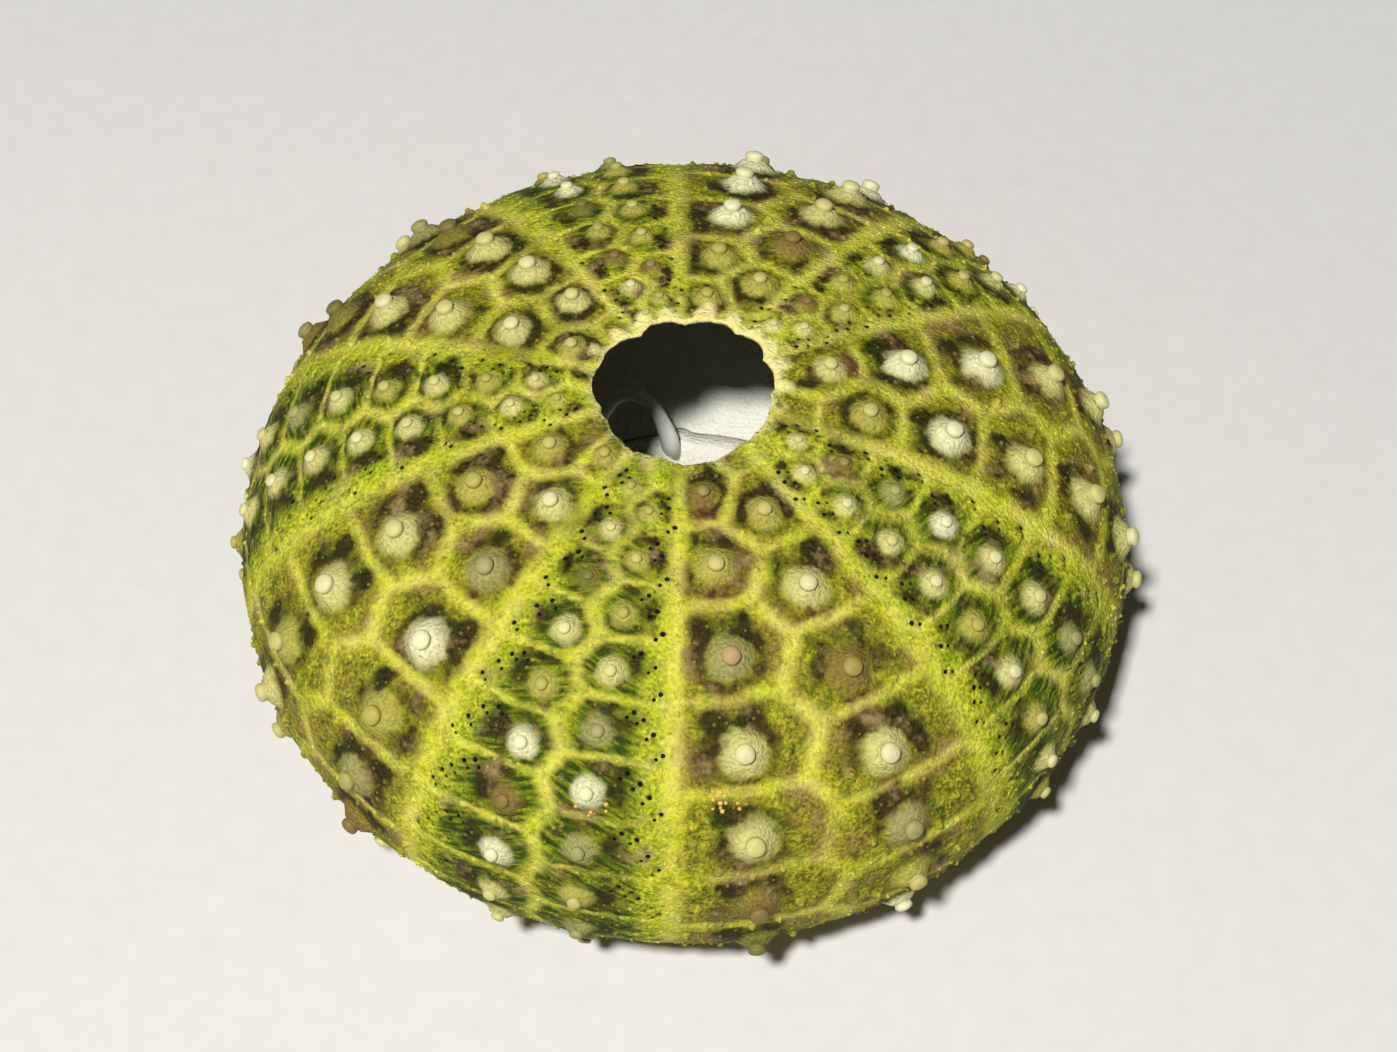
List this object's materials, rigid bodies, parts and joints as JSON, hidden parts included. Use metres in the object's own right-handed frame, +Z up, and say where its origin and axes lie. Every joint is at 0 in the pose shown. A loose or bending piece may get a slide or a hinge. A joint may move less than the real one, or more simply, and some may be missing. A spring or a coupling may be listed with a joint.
{
  "type": "sea urchin shell",
  "caption": "Empty sea urchin shell lying mouth down: a flattened hollow globe of limy plates with knobbed tubercles, open at the top and at the mouth.",
  "frame": {"origin": "on the floor, below the middle of the shell's box, at the middle of the mouth", "axes": "+Z up along the shell's own axis, from the mouth to the hole at the pole; -Y is the side that faces the camera"},
  "size_m": [0.0372, 0.037, 0.0174],
  "materials": {
    "urchin_limestone": "dull granular limy skeleton: olive green plates with yellow-green seams, whitish tubercles and a whitish inside"
  },
  "bodies": {
    "root": {"urchin_shell": "urchin_limestone"}
  },
  "joints": []
}
